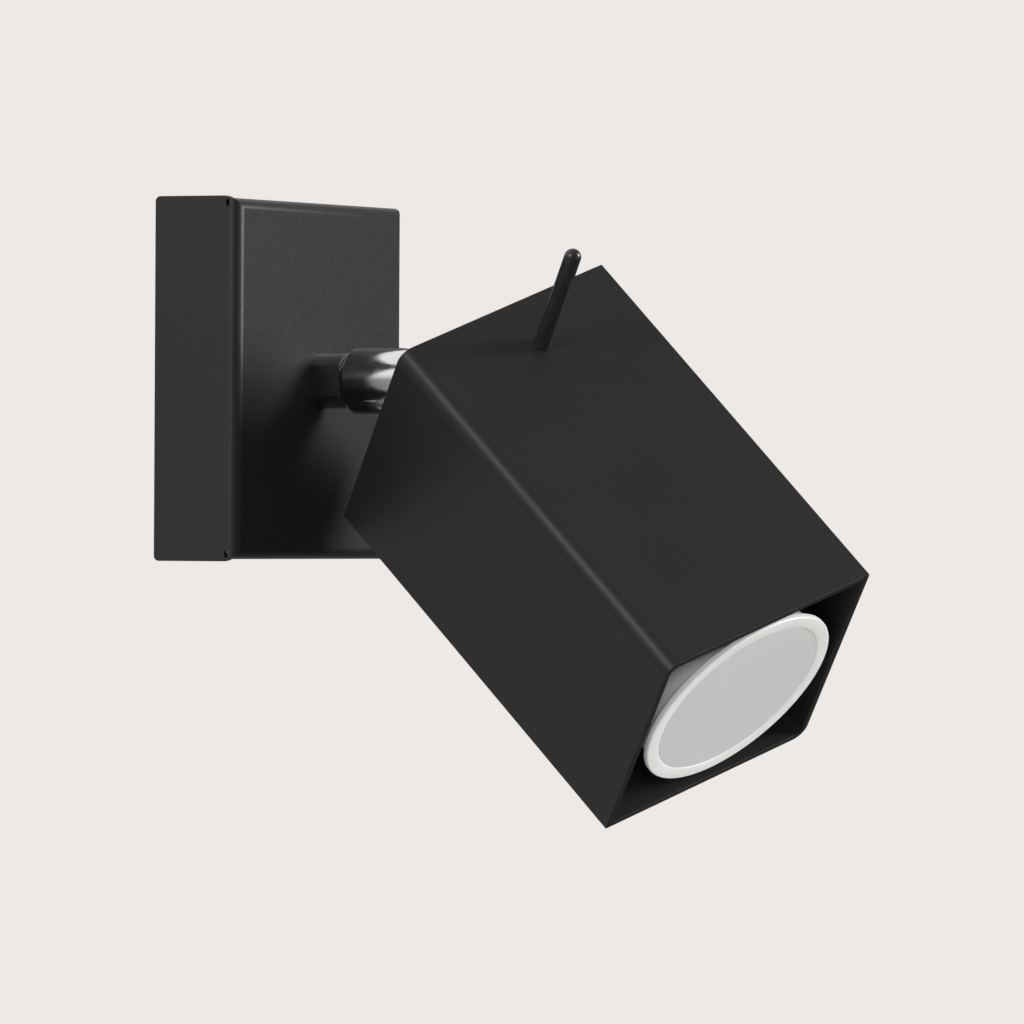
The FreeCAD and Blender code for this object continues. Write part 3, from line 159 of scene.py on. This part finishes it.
def terminal_plastic():
    """Cream terminal block."""
    item = Finish("terminal_plastic_finish", Specular_IOR_Level=0.45, Subsurface_Weight=0.12)
    item.shader.inputs["Subsurface Radius"].default_value = (0.002, 0.0016, 0.0010)
    item.colour(item.noise(70.0), (0.72, 0.69, 0.60), (0.80, 0.77, 0.68))
    item.roughness(item.noise(350.0, 4.0), 0.36, 0.50)
    item.bump(item.noise(1300.0, 2.0), 0.00002, 0.4)
    return item


def friction_plastic():
    """Black friction ring of the hinge."""
    item = Finish("friction_plastic_finish", Specular_IOR_Level=0.4)
    item.colour(item.noise(300.0), (0.030, 0.030, 0.032), (0.050, 0.050, 0.052))
    item.roughness(item.noise(600.0), 0.45, 0.6)
    item.bump(item.noise(1700.0), 0.00001, 0.5)
    return item


def lead_jacket(name, dark, light):
    """Soft plastic insulation with a slight wave from the extruder."""
    item = Finish(name, Specular_IOR_Level=0.5)
    item.colour(item.noise(160.0), dark, light)
    item.roughness(item.noise(500.0, 3.0), 0.34, 0.48)
    item.bump(item.noise(800.0, 1.0), 0.00003, 0.4)
    return item


def earth_jacket():
    """Green insulation with yellow stripes."""
    item = Finish("lead_green_finish", Specular_IOR_Level=0.5)
    stripes = item.stripes(130.0, item.stretched((1.0, 0.6, -0.8)))
    item.colour(stripes, (0.025, 0.20, 0.035), (0.72, 0.60, 0.04), 0.60, 0.64)
    item.roughness(item.noise(500.0, 3.0), 0.34, 0.48)
    item.bump(item.noise(800.0, 1.0), 0.00003, 0.4)
    return item


def ceramic():
    """Steatite: warm white, matt, faintly speckled."""
    item = Finish("holder_ceramic_finish", Specular_IOR_Level=0.5)
    item.colour(item.noise(900.0, 6.0, 0.7), (0.62, 0.60, 0.55), (0.78, 0.76, 0.72))
    item.roughness(item.noise(260.0, 3.0), 0.38, 0.56)
    item.bump(item.noise(1100.0, 4.0), 0.00004, 0.5)
    return item


def lamp_white():
    """White moulded lamp body."""
    item = Finish("lamp_white_finish", Specular_IOR_Level=0.45, Subsurface_Weight=0.05)
    item.shader.inputs["Subsurface Radius"].default_value = (0.0015, 0.0014, 0.0012)
    item.colour(item.noise(60.0), (0.82, 0.82, 0.81), (0.86, 0.86, 0.85))
    item.roughness(item.noise(420.0, 3.0), 0.34, 0.46)
    item.bump(item.noise(1200.0, 2.0), 0.000015, 0.4)
    return item


def diffuser():
    """Opal lens: matt, a little deeper in tone than the rim round it."""
    item = Finish("lamp_diffuser_finish", Specular_IOR_Level=0.4, Subsurface_Weight=0.25)
    item.shader.inputs["Subsurface Radius"].default_value = (0.004, 0.004, 0.004)
    item.colour(item.noise(40.0, 2.0), (0.600, 0.605, 0.600), (0.640, 0.645, 0.640))
    item.roughness(item.noise(700.0, 3.0), 0.44, 0.58)
    item.bump(item.noise(2200.0, 2.0), 0.00001, 0.5)
    return item


def led_board():
    """White board with slightly uneven solder mask."""
    item = Finish("led_board_white_finish", Specular_IOR_Level=0.5)
    item.colour(item.cells(300.0), (0.70, 0.72, 0.70), (0.82, 0.83, 0.80), 0.2, 0.8)
    item.roughness(item.noise(500.0), 0.3, 0.45)
    item.bump(item.noise(1500.0), 0.00001, 0.4)
    return item


def nickel():
    """Warm nickel of the lamp's pins."""
    item = Finish("pin_nickel_finish", Metallic=1.0)
    item.colour(item.noise(300.0), (0.58, 0.55, 0.50), (0.70, 0.67, 0.61))
    item.roughness(item.noise(800.0, 4.0), 0.16, 0.30)
    item.bump(item.noise(1700.0), 0.000006, 0.4)
    return item


FINISHES = {
    "black_powder_coat": powder_coat(),
    "black_gloss_rod": gloss_rod(),
    "black_chrome_plate": chrome(),
    "zinc_steel": zinc(),
    "screw_steel": screw_steel(),
    "brass_contact": brass(),
    "terminal_plastic": terminal_plastic(),
    "friction_plastic": friction_plastic(),
    "lead_brown": lead_jacket("lead_brown_finish", (0.070, 0.028, 0.014), (0.105, 0.042, 0.022)),
    "lead_blue": lead_jacket("lead_blue_finish", (0.020, 0.085, 0.30), (0.032, 0.12, 0.40)),
    "lead_green": earth_jacket(),
    "holder_ceramic": ceramic(),
    "lamp_white": lamp_white(),
    "lamp_diffuser": diffuser(),
    "led_board_white": led_board(),
    "pin_nickel": nickel(),
}


# --- edges and shading of the carried-over nodes -------------------------------

def smooth_group(limit):
    """Geometry nodes: smooth faces, kept sharp at edges steeper than the limit."""
    tree = bpy.data.node_groups.new("smooth_by_angle", "GeometryNodeTree")
    tree.interface.new_socket("Geometry", in_out="INPUT", socket_type="NodeSocketGeometry")
    tree.interface.new_socket("Geometry", in_out="OUTPUT", socket_type="NodeSocketGeometry")
    start = tree.nodes.new("NodeGroupInput")
    end = tree.nodes.new("NodeGroupOutput")
    faces = tree.nodes.new("GeometryNodeSetShadeSmooth")
    faces.domain = "FACE"
    edges = tree.nodes.new("GeometryNodeSetShadeSmooth")
    edges.domain = "EDGE"
    angle = tree.nodes.new("GeometryNodeInputMeshEdgeAngle")
    flat = tree.nodes.new("FunctionNodeCompare")
    flat.data_type = "FLOAT"
    flat.operation = "LESS_THAN"
    flat.inputs["B"].default_value = limit
    tree.links.new(angle.outputs["Unsigned Angle"], flat.inputs["A"])
    tree.links.new(start.outputs["Geometry"], faces.inputs["Geometry"])
    tree.links.new(faces.outputs["Geometry"], edges.inputs["Geometry"])
    tree.links.new(flat.outputs["Result"], edges.inputs["Shade Smooth"])
    tree.links.new(edges.outputs["Geometry"], end.inputs["Geometry"])
    return tree


SMOOTH_UNDER = math.radians(31.0)
ROUND_OVER = math.radians(29.0)
ONE_FLAT_UNDER = math.radians(0.2)
WELD_DISTANCE = 0.000001
FLATTEST_FIRST = 100
SMOOTH = smooth_group(SMOOTH_UNDER)

# Width of the fine round on each piece's sharp edges, in metres.
EDGE_ROUND = {
    "canopy": 0.00015, "tube_shell_upper": 0.00018, "tube_shell_lower": 0.00018,
    "tube_back_plate": 0.00015, "wall_plate": 0.00012, "lampholder_bracket": 0.00012,
    "knuckle_rear": 0.00012, "knuckle_front": 0.00012, "arm_spigot": 0.00006,
    "terminal_block": 0.00020, "lampholder": 0.00030, "lamp_base": 0.00015,
    "lamp_rim": 0.00012, "lamp_lens": 0.00012, "lamp_housing": 0.00010,
    "spigot_nut": 0.00015, "roll_nut": 0.00015, "spigot_washer": 0.00010,
    "roll_stop_washer": 0.00010, "hinge_screw": 0.00012, "canopy_screws": 0.00010,
    "lampholder_screws": 0.00010, "wall_earth_screw": 0.00010,
    "aiming_pin_nut": 0.00010, "bracket_rivets": 0.00015,
}

# Their small faces are joined into one flat, so no crease lines run from the pin's hole.
WIDE_FLATS = ("tube_shell_upper", "tube_shell_lower")
# Their short edges would push an unclamped round past the solid.
CLAMPED = ("canopy", "tube_back_plate")


def dress(node, item):
    """Gives a carried-over node its finish, fine edge rounds and even shading."""
    slot = item.data.materials[0].name.split(".")[0]
    item.data.materials[0] = FINISHES[slot].material
    weld = item.modifiers.new("weld", "WELD")
    weld.merge_threshold = WELD_DISTANCE
    if node in WIDE_FLATS:
        flat = item.modifiers.new("flat_outlines", "DECIMATE")
        flat.decimate_type = "DISSOLVE"
        flat.angle_limit = ONE_FLAT_UNDER
    if node in EDGE_ROUND:
        bevel = item.modifiers.new("edge_round", "BEVEL")
        bevel.width = EDGE_ROUND[node]
        bevel.segments = 3
        bevel.limit_method = "ANGLE"
        bevel.angle_limit = ROUND_OVER
        bevel.use_clamp_overlap = node in CLAMPED
    shade = item.modifiers.new("even_shading", "NODES")
    shade.node_group = SMOOTH
    flats = item.modifiers.new("flat_faces", "WEIGHTED_NORMAL")
    flats.keep_sharp = True
    flats.weight = FLATTEST_FIRST


for node, item in NODES.items():
    dress(node, item)


# --- studio ------------------------------------------------------------------

BACKDROP = (0.8468, 0.8149, 0.7913)
ROOM_LIGHT = 0.28
ROOM_DIM = 0.015
ROOM_TOP = 0.33
ROOM_TINT = (0.97, 0.985, 1.0)
FLOOR_RADIUS = 1.0
FLOOR_CENTRE = (0.0, -0.1, -0.30)
AIM = (0.0, -0.08, -0.03)
KEY_PLACE = (1.80, -3.28, 1.17)
CAMERA_PLACE = (-1.99456, -1.05730, -0.03149)
SENSOR_WIDTH = 36.0
LENS_LENGTH = 351.56


def make_floor():
    mesh = bpy.data.meshes.new("studio_floor")
    form = bmesh.new()
    bmesh.ops.create_circle(form, cap_ends=True, radius=FLOOR_RADIUS, segments=96)
    bmesh.ops.translate(form, verts=form.verts, vec=FLOOR_CENTRE)
    form.to_mesh(mesh)
    form.free()
    floor = bpy.data.objects.new("studio_floor", mesh)
    bpy.context.scene.collection.objects.link(floor)
    item = Finish("studio_floor_finish", Specular_IOR_Level=0.2)
    item.colour(item.noise(3.0), BACKDROP, tuple(value * 1.01 for value in BACKDROP))
    item.roughness(item.noise(8.0), 0.75, 0.85)
    mesh.materials.append(item.material)
    floor.visible_glossy = False


def make_world():
    """Pale backdrop for the camera; metal and gloss see it fade towards the dim room."""
    world = bpy.data.worlds.new("studio_world")
    bpy.context.scene.world = world
    world.use_nodes = True
    nodes = world.node_tree.nodes
    links = world.node_tree.links
    nodes.clear()

    def ranged(value, start, end, low, high):
        node = nodes.new("ShaderNodeMapRange")
        node.interpolation_type = "SMOOTHSTEP"
        node.inputs["From Min"].default_value = start
        node.inputs["From Max"].default_value = end
        node.inputs["To Min"].default_value = low
        node.inputs["To Max"].default_value = high
        links.new(value, node.inputs["Value"])
        return node.outputs["Result"]

    def joined(operation, first, second):
        node = nodes.new("ShaderNodeMath")
        node.operation = operation
        links.new(first, node.inputs[0])
        links.new(second, node.inputs[1])
        return node.outputs["Value"]

    way = nodes.new("ShaderNodeSeparateXYZ")
    links.new(nodes.new("ShaderNodeTexCoord").outputs["Generated"], way.inputs["Vector"])
    behind = ranged(way.outputs["Y"], -0.30, 0.36, ROOM_DIM, 1.0)
    low = ranged(way.outputs["Z"], -0.02, 0.38, 0.40, 1.30)
    above = ranged(way.outputs["Z"], 0.30, 0.85, 0.0, ROOM_TOP)
    mirrored = joined("MAXIMUM", joined("MULTIPLY", behind, low), above)
    path = nodes.new("ShaderNodeLightPath")
    seen = joined("MAXIMUM", path.outputs["Is Camera Ray"], path.outputs["Is Transmission Ray"])
    glossy = joined("MULTIPLY", path.outputs["Is Glossy Ray"], mirrored)
    shown = nodes.new("ShaderNodeBackground")
    shown.inputs["Color"].default_value = (*BACKDROP, 1.0)
    links.new(joined("MAXIMUM", seen, glossy), shown.inputs["Strength"])
    light = nodes.new("ShaderNodeBackground")
    light.inputs["Color"].default_value = (*ROOM_TINT, 1.0)
    light.inputs["Strength"].default_value = ROOM_LIGHT
    either = joined("MAXIMUM", seen, path.outputs["Is Glossy Ray"])
    mix = nodes.new("ShaderNodeMixShader")
    end = nodes.new("ShaderNodeOutputWorld")
    links.new(either, mix.inputs["Fac"])
    links.new(light.outputs["Background"], mix.inputs[1])
    links.new(shown.outputs["Background"], mix.inputs[2])
    links.new(mix.outputs["Shader"], end.inputs["Surface"])


def make_lamp(name, place, size, power, soft=True, gloss=True):
    """A square area lamp, which can be kept from matt or from glossy light."""
    data = bpy.data.lights.new(name, "AREA")
    data.shape = "SQUARE"
    data.size = size
    data.energy = power
    lamp = bpy.data.objects.new(name, data)
    lamp.location = place
    way = Vector(AIM) - Vector(place)
    lamp.rotation_euler = way.to_track_quat("-Z", "Y").to_euler()
    lamp.visible_diffuse = soft
    lamp.visible_glossy = gloss
    bpy.context.scene.collection.objects.link(lamp)


def make_camera():
    """The photograph's view: a long lens at the height of the light, from its left."""
    right = Vector((0.44400, -0.89601, 0.00536))
    down = Vector((0.00329, -0.00435, -0.99999))
    ahead = Vector((0.89602, 0.44401, 0.00102))
    turn = Matrix((right, -down, -ahead)).transposed()
    data = bpy.data.cameras.new("photo_camera")
    data.sensor_width = SENSOR_WIDTH
    data.lens = LENS_LENGTH
    data.clip_start = 0.05
    data.clip_end = 20.0
    camera = bpy.data.objects.new("photo_camera", data)
    camera.matrix_world = Matrix.Translation(CAMERA_PLACE) @ turn.to_4x4()
    bpy.context.scene.collection.objects.link(camera)
    bpy.context.scene.camera = camera


make_floor()
make_world()
make_lamp("key_softbox", KEY_PLACE, 1.2, 120.0)
make_lamp("gloss_softbox", KEY_PLACE, 1.2, 66.0, soft=False)
make_lamp("side_softbox", (-1.85, 0.12, 0.66), 0.7, 12.5)
make_lamp("front_fill", (-1.50, -1.10, 0.25), 0.4, 8.5, gloss=False)
make_camera()
bpy.context.scene.view_settings.view_transform = "Standard"
